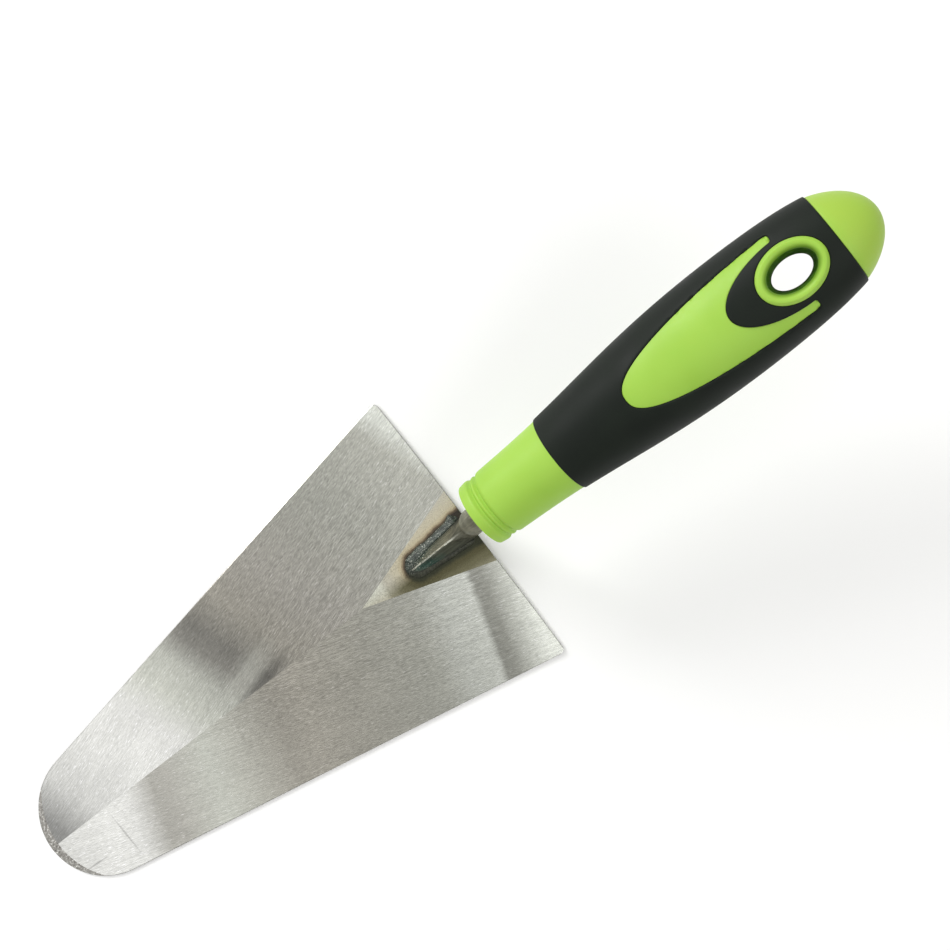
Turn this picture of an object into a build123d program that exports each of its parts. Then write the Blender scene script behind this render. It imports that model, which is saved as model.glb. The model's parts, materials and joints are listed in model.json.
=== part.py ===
from build123d import *
import math
import os

# A round-nosed mason's trowel. All lengths are in millimetres and all angles in degrees.
# X runs along the tool from the nose to the butt, Y runs across it and Z points up from the sole.
# Until the last step, X is measured from the middle of the heel edge.

# Blade
BLADE_LENGTH = 160.5
HEEL_WIDTH = 94.7
HEEL_BULGE = 0.4
HEEL_CORNER_RADIUS = 1.5
NOSE_RADIUS = 20.5
SHEET_THICKNESS = 1.6
GRIND_SLOPE = 0.018
PLATEAU_LENGTH = 41.2
PLATEAU_HALF_WIDTH = 13.1
NOSE_BEVEL_LENGTH = 2.6
NOSE_BEVEL_DROP = 0.4

# How far the cutting solids reach past the blade, along it and above it
BEYOND_BLADE = 250.0
ABOVE_BLADE = 1.0

# Shank: foot, lower bend, riser, elbow and tang
ROD_RADIUS = 3.75
RISER_X = 2.3
LOWER_BEND_RADIUS = 12.0
ELBOW_RADIUS = 4.5
ELBOW_START_Z = 33.7
FOOT_TOE_X = -22.4
FOOT_HEEL_X = -1.2
FOOT_TOE_HALF_WIDTH = 2.4
FOOT_HEEL_HALF_WIDTH = 4.0
FOOT_SHOULDER_WIDTH = 0.82  # share of the half width at the blade
FOOT_SHOULDER_HEIGHT = 0.5  # share of the ridge's height
FOOT_SLOPE_STEPS = 3
FOOT_BEND_STEPS = 4
TOE_HEIGHT = 1.6
RIDGE_HALF_WIDTH = 0.7
RIDGE_RISE = 0.4
RIDGE_REACH = 0.97  # share of the bend's inner radius that the ridge climbs
TANG_LENGTH = 70.0
TANG_WING_START = 54.0
TANG_WING_LENGTH = 11.0
TANG_WING_WIDTH = 11.0
TANG_WING_THICKNESS = 3.6

# Weld bead round the foot
WELD_WIDTH = 1.7
WELD_HEIGHT = 1.5
WELD_SLOPE = 42.0
WELD_HEEL_X = -0.6
WELD_TOE_RADIUS = 3.1

# Handle: (distance from the mouth, half width, half thickness) of the rubber's outer skin
HANDLE_RISE = 15.5
HANDLE_SECTIONS = [
    (0.0, 9.75, 9.75),
    (12.0, 10.45, 10.45),
    (27.6, 11.3, 11.05),
    (40.0, 12.75, 11.8),
    (55.0, 14.3, 12.5),
    (70.0, 15.25, 12.95),
    (84.0, 15.6, 13.1),
    (98.0, 15.15, 12.85),
    (108.0, 14.3, 12.2),
    (115.4, 13.1, 11.3),
]
RUBBER_START = 27.6
RUBBER_THICKNESS = 2.5
RUBBER_STEP = 0.35
DOME_LENGTH = 23.2
DOME_CENTRE_BACK = 11.2

# Rolled lip at the mouth
LIP_LENGTH = 3.4
LIP_BEAD_LENGTH = 1.9
LIP_GROOVE_RADIUS = 0.45
LIP_GROOVE_STAND = 0.225
LIP_EDGE_RADIUS = 1.5

# Teardrop panels on the upper and lower faces, with a notch round the eyelet
PANEL_TIP = 51.8
PANEL_END = 102.9
PANEL_HALF_WIDTH = 11.3
PANEL_FULLNESS = 2.5
PANEL_STEPS = 8
NOTCH_HALF_WIDTH = 9.1
NOTCH_LENGTH = 18.9

# Oval hanging eyelet
EYELET_FROM_MOUTH = 102.4
EYELET_LENGTH = 18.9
EYELET_WIDTH = 14.9
EYELET_WALL = 2.8
EYELET_STAND = 0.7

RUBBER_END, BUTT_HALF_WIDTH, BUTT_HALF_THICKNESS = HANDLE_SECTIONS[-1]
BEND_START_X = RISER_X - LOWER_BEND_RADIUS
THROUGH_HANDLE = 20.0
ELBOW_CENTRE_X = RISER_X + ELBOW_RADIUS
MOUTH_X = ELBOW_CENTRE_X - ELBOW_RADIUS * math.sin(math.radians(HANDLE_RISE))
MOUTH_Z = ELBOW_START_Z + ELBOW_RADIUS * math.cos(math.radians(HANDLE_RISE))
HANDLE_AXIS = Vector(math.cos(math.radians(HANDLE_RISE)), 0, math.sin(math.radians(HANDLE_RISE)))
# In the handle's own frame X runs across it, Y through its thickness and Z from mouth to butt.
HANDLE_PLACE = Plane(origin=(MOUTH_X, 0, MOUTH_Z), x_dir=(0, 1, 0), z_dir=HANDLE_AXIS).location


def blade_outline():
    """Flat outline: straight sides that run tangent into the round nose."""
    half = HEEL_WIDTH / 2
    nose_centre = -(BLADE_LENGTH - NOSE_RADIUS)
    corner_to_centre = math.hypot(nose_centre + HEEL_BULGE, half)
    side_angle = math.atan2(half, -nose_centre - HEEL_BULGE) - math.asin(NOSE_RADIUS / corner_to_centre)
    tangent_x = nose_centre - NOSE_RADIUS * math.sin(side_angle)
    tangent_y = NOSE_RADIUS * math.cos(side_angle)
    heel = ThreePointArc((-HEEL_BULGE, -half), (0, 0), (-HEEL_BULGE, half))
    left = Line((-HEEL_BULGE, half), (tangent_x, tangent_y))
    nose = ThreePointArc((tangent_x, tangent_y), (-BLADE_LENGTH, 0), (tangent_x, -tangent_y))
    right = Line((tangent_x, -tangent_y), (-HEEL_BULGE, -half))
    outline = make_face(heel + left + nose + right)
    corners = outline.vertices().sort_by(Axis.X)[-2:]
    return fillet(corners, HEEL_CORNER_RADIUS)


def grinding_cut(side):
    """Metal ground away on one side, which falls from that edge of the V-shaped plateau."""
    slant = math.hypot(PLATEAU_LENGTH, PLATEAU_HALF_WIDTH)
    along = Vector(PLATEAU_LENGTH, side * PLATEAU_HALF_WIDTH, 0) / slant
    outward = Vector(-PLATEAU_HALF_WIDTH, side * PLATEAU_LENGTH, 0) / slant
    plane = Plane(origin=(-PLATEAU_LENGTH, 0, SHEET_THICKNESS), x_dir=outward, z_dir=along * side)
    wedge = make_face(Polyline(
        (0, 0), (BEYOND_BLADE, -BEYOND_BLADE * GRIND_SLOPE),
        (BEYOND_BLADE, ABOVE_BLADE), (0, ABOVE_BLADE), close=True))
    return extrude(plane * wedge, amount=BEYOND_BLADE, both=True)


def nose_bevel_cut():
    """Shallow bevel across the very end of the nose."""
    start_x = -(BLADE_LENGTH - NOSE_BEVEL_LENGTH)
    fall = GRIND_SLOPE * PLATEAU_HALF_WIDTH / math.hypot(PLATEAU_LENGTH, PLATEAU_HALF_WIDTH)
    start_z = SHEET_THICKNESS - fall * (-start_x - PLATEAU_LENGTH)
    end_z = start_z - NOSE_BEVEL_DROP
    above = SHEET_THICKNESS + ABOVE_BLADE
    bevel = make_face(Polyline(
        (start_x, start_z), (-BLADE_LENGTH, end_z), (-BEYOND_BLADE, end_z),
        (-BEYOND_BLADE, above), (start_x, above), close=True))
    return extrude(Plane.XZ * bevel, amount=BEYOND_BLADE, both=True)


def make_blade():
    blade = extrude(blade_outline(), amount=SHEET_THICKNESS)
    for side in (1, -1):
        blade -= grinding_cut(side)
    return blade - nose_bevel_cut()


def ridge_height(x):
    """Height of the foot's ridge: a straight slope to the toe, and the inside of the lower bend."""
    rod_top = 2 * ROD_RADIUS + RIDGE_RISE
    if x < BEND_START_X:
        share = (BEND_START_X - x) / (BEND_START_X - FOOT_TOE_X)
        return rod_top + (TOE_HEIGHT - rod_top) * share
    inner_radius = LOWER_BEND_RADIUS - ROD_RADIUS
    reach = min(x - BEND_START_X, RIDGE_REACH * inner_radius)
    return rod_top + inner_radius - math.sqrt(inner_radius**2 - reach**2)


def foot_section(x):
    """Ridged cross-section of the foot, standing on the blade."""
    share = (x - FOOT_TOE_X) / (FOOT_HEEL_X - FOOT_TOE_X)
    base = FOOT_TOE_HALF_WIDTH + (FOOT_HEEL_HALF_WIDTH - FOOT_TOE_HALF_WIDTH) * share
    top = ridge_height(x)
    shoulder = (FOOT_SHOULDER_WIDTH * base, FOOT_SHOULDER_HEIGHT * top)
    half = [(base, 0), shoulder, (RIDGE_HALF_WIDTH, top)]
    other_half = [(-y, z) for y, z in reversed(half)]
    section = make_face(Polyline(*half, *other_half, close=True))
    return Plane(origin=(x, 0, SHEET_THICKNESS), x_dir=(0, 1, 0), z_dir=(1, 0, 0)) * section


def foot_stations():
    """Places of the foot's sections: even steps up the slope, then even steps round the bend."""
    slope_step = (BEND_START_X - FOOT_TOE_X) / FOOT_SLOPE_STEPS
    bend_step = (FOOT_HEEL_X - BEND_START_X) / FOOT_BEND_STEPS
    slope = [FOOT_TOE_X + slope_step * step for step in range(FOOT_SLOPE_STEPS)]
    bend = [BEND_START_X + bend_step * step for step in range(FOOT_BEND_STEPS + 1)]
    return slope + bend


def rod_path():
    """Centre line of the rod: lower bend, riser, elbow and straight tang."""
    bend_centre_z = SHEET_THICKNESS + ROD_RADIUS + LOWER_BEND_RADIUS
    diagonal = LOWER_BEND_RADIUS * math.sqrt(0.5)
    lower_bend = ThreePointArc(
        (BEND_START_X, 0, bend_centre_z - LOWER_BEND_RADIUS),
        (BEND_START_X + diagonal, 0, bend_centre_z - diagonal),
        (RISER_X, 0, bend_centre_z))
    riser = Line((RISER_X, 0, bend_centre_z), (RISER_X, 0, ELBOW_START_Z))
    middle = math.radians((180 + 90 + HANDLE_RISE) / 2)
    elbow = ThreePointArc(
        (RISER_X, 0, ELBOW_START_Z),
        (ELBOW_CENTRE_X + ELBOW_RADIUS * math.cos(middle), 0,
         ELBOW_START_Z + ELBOW_RADIUS * math.sin(middle)),
        (MOUTH_X, 0, MOUTH_Z))
    mouth = Vector(MOUTH_X, 0, MOUTH_Z)
    tang = Line(mouth, mouth + HANDLE_AXIS * TANG_LENGTH)
    return Wire([lower_bend, riser, elbow, tang])


def tang_wings():
    """Flattened wings near the end of the tang, which lock it in the moulded core."""
    wings = Box(TANG_WING_WIDTH, TANG_WING_THICKNESS, TANG_WING_LENGTH)
    wings = fillet(wings.edges().filter_by(Axis.Y), TANG_WING_THICKNESS / 2)
    return HANDLE_PLACE * Pos(0, 0, TANG_WING_START + TANG_WING_LENGTH / 2) * wings


def make_shank():
    foot = loft([foot_section(x) for x in foot_stations()], ruled=True)
    path = rod_path()
    rod = sweep(Plane(origin=path @ 0, z_dir=path % 0) * Circle(ROD_RADIUS), path=path)
    return foot + rod + tang_wings()


def make_weld_bead(shank):
    """Fillet weld along both sides of the foot and round its toe."""
    toe = FOOT_TOE_HALF_WIDTH + WELD_WIDTH
    heel = FOOT_HEEL_HALF_WIDTH + WELD_WIDTH
    outline = make_face(Polyline(
        (WELD_HEEL_X, -heel), (WELD_HEEL_X, heel), (FOOT_TOE_X - WELD_WIDTH, toe),
        (FOOT_TOE_X - WELD_WIDTH, -toe), close=True))
    outline = fillet(outline.vertices().sort_by(Axis.X)[:2], WELD_TOE_RADIUS)
    bead = extrude(Pos(0, 0, SHEET_THICKNESS) * outline, amount=WELD_HEIGHT, taper=WELD_SLOPE)
    return bead - shank


def handle_skin(inset):
    """Handle body from the mouth to the end of the rubber, drawn in by the inset."""
    sections = []
    for distance, half_width, half_thickness in HANDLE_SECTIONS:
        ellipse = Ellipse(half_width - inset, half_thickness - inset)
        sections.append(Pos(0, 0, distance) * ellipse)
    return loft(sections)


def butt_dome():
    """Domed butt: the end of an ellipsoid that starts where the rubber stops."""
    swell = 1 / math.sqrt(1 - (DOME_CENTRE_BACK / DOME_LENGTH) ** 2)
    radius_across = (BUTT_HALF_WIDTH - RUBBER_STEP) * swell
    radius_through = (BUTT_HALF_THICKNESS - RUBBER_STEP) * swell
    ellipsoid = scale(Sphere(1), by=(radius_across, radius_through, DOME_LENGTH))
    ellipsoid = Pos(0, 0, RUBBER_END - DOME_CENTRE_BACK) * ellipsoid
    return ellipsoid & slice_between(RUBBER_END, RUBBER_END + DOME_LENGTH)


def slice_between(start, end):
    """Slab across the handle between two distances from the mouth."""
    return Pos(0, 0, (start + end) / 2) * Box(4 * THROUGH_HANDLE, 4 * THROUGH_HANDLE, end - start)


def panel_outline():
    """Teardrop outline in the handle's XZ plane, less the notch that clears the eyelet."""
    length = PANEL_END - PANEL_TIP
    side = []
    for step in range(1, PANEL_STEPS + 1):
        turn = math.radians(90 * step / PANEL_STEPS)
        across = PANEL_HALF_WIDTH * math.sin(turn) ** (2 / PANEL_FULLNESS)
        side.append((across, PANEL_END - length * math.cos(turn)))
    right = Spline((0, PANEL_TIP), *side, tangents=[(1, 0), (0, 1)])
    left = mirror(right, about=Plane.YZ)
    end = Line((-PANEL_HALF_WIDTH, PANEL_END), (PANEL_HALF_WIDTH, PANEL_END))
    notch = Pos(0, PANEL_END) * Ellipse(NOTCH_HALF_WIDTH, NOTCH_LENGTH)
    return make_face(right + end + left) - notch


def through_handle(sketch):
    """A sketch in the handle's XZ plane, run right through its thickness."""
    plane = Plane(origin=(0, 0, 0), x_dir=(1, 0, 0), z_dir=(0, -1, 0))
    return extrude(plane * sketch, amount=THROUGH_HANDLE, both=True)


def eyelet_prism(wall):
    """Oval prism through the handle, smaller than the eyelet's outside by the wall."""
    oval = Pos(0, EYELET_FROM_MOUTH) * Ellipse(EYELET_WIDTH / 2 - wall, EYELET_LENGTH / 2 - wall)
    return through_handle(oval)


def lip_grooves():
    """Two fine grooves that set off the rolled lip and the bead behind it."""
    radius = HANDLE_SECTIONS[0][1] - RUBBER_STEP + LIP_GROOVE_STAND
    grooves = [Pos(0, 0, distance) * Torus(radius, LIP_GROOVE_RADIUS)
               for distance in (LIP_LENGTH, LIP_LENGTH + LIP_BEAD_LENGTH)]
    return grooves[0] + grooves[1]


def make_handle_core():
    """Hard core: neck, body under the rubber, both panels, eyelet tube and domed butt."""
    green_skin = handle_skin(RUBBER_STEP)
    neck = green_skin & slice_between(0, RUBBER_START)
    mouth_edge = neck.edges().sort_by(Axis.Z)[0]
    neck = fillet(mouth_edge, LIP_EDGE_RADIUS) - lip_grooves()
    body = handle_skin(RUBBER_THICKNESS) & slice_between(RUBBER_START, RUBBER_END)
    panels = green_skin & through_handle(panel_outline())
    eyelet = handle_skin(-EYELET_STAND) & eyelet_prism(0)
    core = neck + body + butt_dome() + panels + eyelet
    return HANDLE_PLACE * (core - eyelet_prism(EYELET_WALL))


def make_grip_overmould(core):
    """Rubber sleeve over the core, with windows for the panels and the eyelet."""
    sleeve = handle_skin(0) & slice_between(RUBBER_START, RUBBER_END)
    sleeve -= eyelet_prism(0)
    sleeve -= through_handle(panel_outline())
    return HANDLE_PLACE * sleeve - core


def main():
    shank = make_shank()
    core = make_handle_core()
    pieces = {
        "blade": make_blade(),
        "shank": shank,
        "weld_bead": make_weld_bead(shank),
        "handle_core": core - shank,
        "grip_overmould": make_grip_overmould(core),
    }
    # The origin is the middle of the tool's box, at the level of the sole.
    boxes = [piece.bounding_box() for piece in pieces.values()]
    middle_x = (min(box.min.X for box in boxes) + max(box.max.X for box in boxes)) / 2
    print(f"heel edge at x = {-middle_x:.3f}")
    os.makedirs("parts", exist_ok=True)
    for name, piece in pieces.items():
        placed = Pos(-middle_x, 0, 0) * piece
        export_step(placed, f"parts/{name}.step")


main()
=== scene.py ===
import json
from math import asin, atan2, cos, exp, hypot, pi, radians, sin, sqrt, tan

import bmesh
import bpy
import numpy as np
from mathutils import Matrix, Vector
from mathutils.geometry import delaunay_2d_cdt


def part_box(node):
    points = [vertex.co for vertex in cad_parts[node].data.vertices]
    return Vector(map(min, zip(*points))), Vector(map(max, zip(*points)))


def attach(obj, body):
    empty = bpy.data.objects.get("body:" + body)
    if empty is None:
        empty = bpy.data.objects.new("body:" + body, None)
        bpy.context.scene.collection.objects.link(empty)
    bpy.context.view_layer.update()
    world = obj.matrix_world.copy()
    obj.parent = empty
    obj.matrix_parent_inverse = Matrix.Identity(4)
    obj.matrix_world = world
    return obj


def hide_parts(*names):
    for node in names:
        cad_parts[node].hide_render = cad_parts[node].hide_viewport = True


# The looks of a round-nosed mason's trowel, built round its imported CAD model.
# Lengths in this script are millimetres unless a name ends in _m. X runs from nose to butt,
# Y across the blade and Z up. Meshes are scaled to metres when they are made.
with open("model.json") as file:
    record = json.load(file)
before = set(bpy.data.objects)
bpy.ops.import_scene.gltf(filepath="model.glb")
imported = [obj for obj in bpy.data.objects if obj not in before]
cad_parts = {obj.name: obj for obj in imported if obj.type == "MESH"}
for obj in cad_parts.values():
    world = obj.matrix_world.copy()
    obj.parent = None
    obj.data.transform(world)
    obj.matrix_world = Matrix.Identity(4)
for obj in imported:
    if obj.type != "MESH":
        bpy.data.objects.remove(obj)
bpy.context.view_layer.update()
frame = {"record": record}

MM = 0.001
SEED = 11
QUARTER = pi / 2


def linear(red, green, blue):
    """Display colour, 0 to 255, as the linear colour a shader takes."""
    shares = (red / 255, green / 255, blue / 255)
    return tuple(v / 12.92 if v <= 0.04045 else ((v + 0.055) / 1.055) ** 2.4 for v in shares)


# Blade
blade_low, blade_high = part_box("blade")
HEEL_X = blade_high.x / MM
BLADE_LENGTH = (blade_high.x - blade_low.x) / MM
SHEET_TOP = blade_high.z / MM
HEEL_WIDTH = 94.7
HEEL_BULGE = 0.4
HEEL_CORNER_RADIUS = 1.5
NOSE_RADIUS = 20.5
NOSE_X = NOSE_RADIUS - BLADE_LENGTH
GRIND_SLOPE = 0.018
PLATEAU_LENGTH = 41.2
PLATEAU_HALF_WIDTH = 13.1
NOSE_BEVEL_LENGTH = 2.6
NOSE_BEVEL_ARC = 26.0
NOSE_BEVEL_DROP = 0.35
NOSE_BEVEL_HALF_ANGLE = 0.9
NOSE_BEVEL_X = NOSE_BEVEL_LENGTH - BLADE_LENGTH + NOSE_BEVEL_ARC
EDGE_ROUND = 0.16
LEFT_LAY = radians(18.7)
RIGHT_LAY = radians(-17.0)

# Shank
ROD_RADIUS = 3.75
RISER_X = 2.3
LOWER_BEND_RADIUS = 12.0
BEND_X = RISER_X - LOWER_BEND_RADIUS
ELBOW_RADIUS = 4.5
FOOT_TOE_X = -22.4
FOOT_HEEL_X = -1.2
FOOT_TOE_HALF_WIDTH = 2.6
FOOT_HEEL_HALF_WIDTH = 4.3
TOE_ROUND = 2.2
FOOT_LEAN = 0.09  # how fast the foot with its weld widens towards the heel
TOE_HEIGHT = 1.5
BEND_EXTRA_HEIGHT = 0.35
FACET_HOLLOW = 0.09
RIDGE_HALF_WIDTH = 0.1
RIDGE_SWELL = 0.1
BEND_RIDGE_HALF_WIDTH = 0.3
ROUND_FROM = radians(8)
ROUND_TO = radians(62)
SETTLE_TO = radians(75)
TANG_LENGTH = 70.0
WING_START = 54.0
WING_END = 65.0
WING_HALF_WIDTH = 5.4
WING_HALF_THICKNESS = 1.8

# Weld bead
WELD_WIDTH = 1.55
WELD_HEIGHT = 1.35
WELD_RIPPLE = 1.1
WELD_RIPPLE_WIDTH = 0.03
WELD_RIPPLE_LIFT = 0.02
WELD_WANDER = 0.25
WELD_WANDER_POINTS = 16
WELD_EAR = 1.1
WELD_RIGHT_SHARE = 0.62

# Handle: the rubber's outer skin at a few distances from the mouth
SKIN_STATIONS = [0.0, 12.0, 27.6, 40.0, 55.0, 70.0, 84.0, 98.0, 108.0, 115.4]
SKIN_HALF_WIDTHS = [9.75, 10.45, 11.3, 12.75, 14.3, 15.25, 15.6, 15.15, 14.3, 13.1]
SKIN_HALF_THICKNESSES = [9.75, 10.45, 11.05, 11.8, 12.5, 12.95, 13.1, 12.85, 12.2, 11.3]
RUBBER_START = 27.6
RUBBER_END = 115.4
RUBBER_THICKNESS = 2.5
RUBBER_STEP = 0.35
RUBBER_EDGE_ROUND = 0.35
RUBBER_END_ROUND = 0.3
DOME_LENGTH = 23.18
DOME_CENTRE_BACK = 11.2
DOME_EDGE_ROUND = 0.4
MOUTH_EDGE_RADIUS = 1.5
LIP_GROOVES = (3.4, 5.3)
LIP_GROOVE_DEPTH = 0.75
LIP_GROOVE_WIDTH = 0.6
LIP_SWELL = 0.12
LIP_BEAD_SET_BACK = 0.1
GROOVES_END = 7.0
BORE_RADIUS = ROD_RADIUS + 0.05

# Panels and eyelet
PANEL_TIP = 51.8
PANEL_END = 102.9
PANEL_HALF_WIDTH = 11.3
PANEL_FULLNESS = 2.5
PANEL_EDGE_ROUND = 0.16
NOTCH_HALF_WIDTH = 9.1
NOTCH_LENGTH = 18.9
EYELET_FROM_MOUTH = 102.4
EYELET_LENGTH = 18.9
EYELET_WIDTH = 14.9
EYELET_WALL = 2.8
EYELET_STAND = 0.65
EYELET_CREST = 0.42  # share of the wall from its outside to the bead's crest
EYELET_ROLL = 2.1
EYELET_WAIST = 3.75  # how far in from the eyelet's outside the hole's wall reaches at half depth
EYELET_DRAFT = [(0.4, 2.83), (1.2, 2.9), (3.5, 3.15), (6.5, 3.45)]  # below the bead, in from the outside

# Mesh fineness
UNROLL = 14.0  # width of a radian round the handle on the flat sheet that its skin unrolls to
SIDE_STEPS = 84
SKIN_STEP = 0.75
EYELET_STEPS = 112
EDGE_RINGS = (0.1, 0.22, 0.38)

# Stage and camera
FLOOR_HALF_SIZE_M = 3.0
FLOOR_GAP_M = 0.0002
CAMERA_LENS = 47.24
CAMERA_PAST_HEEL_M = 0.0147
CAMERA_Y_M = -0.0056
CAMERA_HEIGHT_M = 0.3765
PICTURE_RIGHT = (0.788, -0.615, 0)
PICTURE_UP = (0.615, 0.788, 0)
CAMERA_LEAN = (("Z", -0.0046), ("Y", -0.0368), ("X", -0.028))

# Size in metres of a flat ellipse along its own Z, so large that height doesn't count
FAR_UP_M = 1000.0

# Marks on the ground faces: place from the heel edge, size along and across, turn, softness, depth
# On the left they are painted reflections, a lighter patch and a darker one; on the right, two nicks.
LEFT_REFLECTION_PATCHES = [((-80, 5.6), (16, 7), 20, 0.8, -0.3), ((-79, 1), (18, 3.2), 12, 0.8, 0.36)]
RIGHT_MARKS = [
    ((-139.5, -10.5), (11, 0.5), 92, 0.8, 0.35), ((-152.6, -11.9), (7.5, 0.5), -3, 0.8, 0.4),
]

# Hues of the ground faces, from the cool nose to the silvery heel
COOL = (1.0, 0.98, 1.045)
PINK = (1.0, 0.945, 0.925)
ROSE = (1.0, 0.96, 0.97)
PLAIN = (1.0, 1.0, 1.0)
SILVER = (1.0, 1.02, 1.05)

# Painted reflections of the room: light and dark bands across the grinding passes, as distance along the lay
# from the heel edge, level and hue. The first levels were read off tone ratios measured in the photo, then
# thinned out and moved against renders.
LEFT_REFLECTION_BANDS = [
    (-146, 0.27, COOL), (-134, 0.61, COOL), (-117, 0.76, COOL), (-103, 0.75, COOL), (-93, 0.65, PLAIN),
    (-84, 0.6, PLAIN), (-77, 0.34, ROSE), (-72, 0.31, ROSE), (-61, 0.59, PINK), (-46, 0.67, ROSE),
    (-20, 0.66, PLAIN), (4, 0.62, PLAIN), (10, 0.86, SILVER),
]
RIGHT_REFLECTION_BANDS = [
    (-155, 0.6, COOL), (-134, 0.74, COOL), (-126.5, 0.7, COOL), (-118, 0.41, ROSE), (-113, 0.44, ROSE),
    (-99, 0.58, PLAIN), (-75, 0.53, PINK), (-66, 0.67, PINK), (-25, 0.7, PLAIN), (-16, 0.85, SILVER),
    (-7, 0.88, SILVER), (-5, 0.43, PLAIN), (-2, 0.46, PLAIN), (9, 1.13, SILVER),
]
LEFT_WAVER = 4.0
RIGHT_WAVER = 1.8

# Colours that more than one place uses, or that give a face its main tone
GROUND_TONE = linear(241, 242, 231)
# Painted glints: short dashes lighter than the ground steel
PAINTED_GLINT_TONE = (1.24, 1.24, 1.19)
# Dark tone of the painted reflections and of the nicks
REFLECTION_AND_NICK_TONE = linear(58, 56, 54)
BUTT_GREEN = linear(158, 192, 72)
HOLE_SHADE_GREEN = linear(66, 112, 20)

eyelet_mount = next(m for m in frame["record"]["mounts"] if m["name"] == "hang_eyelet")
HANDLE_UP = Vector(eyelet_mount["axis"]).normalized()
HANDLE_AXIS = Vector((HANDLE_UP.z, 0, -HANDLE_UP.x))
MOUTH = Vector(eyelet_mount["pos_m"]) / MM - HANDLE_AXIS * EYELET_FROM_MOUTH


# ---- Mesh helpers

def add_object(name, data):
    added = bpy.data.objects.new(name, data)
    bpy.context.scene.collection.objects.link(added)
    return added


def smooth_step(low, high, value):
    share = np.clip((np.asarray(value, float) - low) / (high - low), 0, 1)
    return share * share * (3 - 2 * share)


class Shape:
    """Collects points in millimetres and faces, and makes a piece of them."""

    def __init__(self):
        self.points = []
        self.faces = []

    def add_points(self, points):
        start = len(self.points)
        self.points.extend(np.asarray(points, float).tolist())
        return start

    def add_rings(self, rings, first_hub=None, last_hub=None):
        """Quads between neighbouring closed rings of equal length, with a fan round a hub at an end."""
        starts = [self.add_points(ring) for ring in rings]
        after = [(i, (i + 1) % len(rings[0])) for i in range(len(rings[0]))]
        for a, b in zip(starts, starts[1:]):
            self.faces += [(a + i, a + j, b + j, b + i) for i, j in after]
        for start, hub in ((starts[0], first_hub), (starts[-1], last_hub)):
            if hub is not None:
                centre = self.add_points([hub])
                self.faces += [(start + i, start + j, centre) for i, j in after]

    def add_capped_rings(self, rings):
        self.add_rings(rings, np.mean(rings[0], axis=0), np.mean(rings[-1], axis=0))

    def drop_unused_points(self):
        used = sorted({i for face in self.faces for i in face})
        index = {old: new for new, old in enumerate(used)}
        self.points = np.array(self.points)[used].tolist()
        self.faces = [tuple(index[i] for i in face) for face in self.faces]

    def make_piece(self, name, material, node, shift_x=0.0, merge=0.002, crease_degrees=None):
        """The piece, with coincident points merged and normals facing out."""
        mesh = bpy.data.meshes.new(name)
        points = (np.array(self.points) + np.array([shift_x, 0, 0])) * MM
        mesh.from_pydata([tuple(p) for p in points], [], self.faces)
        piece = add_object(name, mesh)
        clean_mesh(mesh, merge * MM)
        mesh.materials.append(material)
        mesh.polygons.foreach_set("use_smooth", [True] * len(mesh.polygons))
        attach(piece, "root")
        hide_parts(node)
        if crease_degrees is not None:
            mesh.set_sharp_from_angle(angle=radians(crease_degrees))
        return piece


def clean_mesh(mesh, merge_m):
    work = bmesh.new()
    work.from_mesh(mesh)
    bmesh.ops.remove_doubles(work, verts=work.verts, dist=merge_m)
    bmesh.ops.dissolve_degenerate(work, edges=work.edges, dist=merge_m / 4)
    bmesh.ops.recalc_face_normals(work, faces=work.faces)
    work.to_mesh(mesh)
    work.free()
    mesh.update()


def inset_ring(outline, normals, distance, heights):
    """The outline moved in by a distance, at one height or one for each point."""
    moved = outline - normals * distance
    return np.column_stack([moved, np.broadcast_to(heights, len(outline))])


# ---- Blade

def blade_outline():
    """Outline points and outward normals, anticlockwise, with X from the middle of the heel edge."""
    half = HEEL_WIDTH / 2
    reach = hypot(NOSE_X + HEEL_BULGE, half)
    lean = atan2(half, -NOSE_X - HEEL_BULGE) - asin(NOSE_RADIUS / reach)
    # The corner's centre lies a corner radius inside both the heel edge and the side.
    inside_x = -HEEL_BULGE - HEEL_CORNER_RADIUS
    side_y = half + (inside_x + HEEL_BULGE) * tan(lean)
    inside_y = side_y - HEEL_CORNER_RADIUS / cos(lean)
    points, normals = [], []

    def arc(centre, radius, first, last, count):
        for angle in np.linspace(first, last, count):
            direction = (cos(angle), sin(angle))
            points.append((centre[0] + radius * direction[0], centre[1] + radius * direction[1]))
            normals.append(direction)

    side_normal = QUARTER + lean
    arc((inside_x, inside_y), HEEL_CORNER_RADIUS, 0.02, side_normal, 9)
    arc((NOSE_X, 0), NOSE_RADIUS, side_normal, 2 * pi - side_normal, 97)
    arc((inside_x, -inside_y), HEEL_CORNER_RADIUS, -side_normal, -0.02, 9)
    for y in np.linspace(-inside_y, inside_y, 25)[1:-1]:
        points.append((-HEEL_BULGE * (y / half) ** 2, y))
        normals.append((1.0, 0.0))
    return np.array(points), np.array(normals)


def outside_plateau(x, y):
    """How far a point lies outside the V of unground sheet, or inside it if negative."""
    slant = hypot(PLATEAU_LENGTH, PLATEAU_HALF_WIDTH)
    return (np.abs(y) * PLATEAU_LENGTH - (x + PLATEAU_LENGTH) * PLATEAU_HALF_WIDTH) / slant


def past_bevel(x, y):
    """How far a point lies outside the arc where the nose bevel starts."""
    return np.where(x < NOSE_BEVEL_X, np.hypot(x - NOSE_BEVEL_X, y) - NOSE_BEVEL_ARC, -1.0)


def blade_top(x, y):
    """Height of the top face: the V-shaped plateau, the two ground faces and the nose bevel."""
    top = SHEET_TOP - GRIND_SLOPE * np.maximum(outside_plateau(x, y), 0)
    return top - np.maximum(past_bevel(x, y), 0) * NOSE_BEVEL_DROP / NOSE_BEVEL_LENGTH


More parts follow.
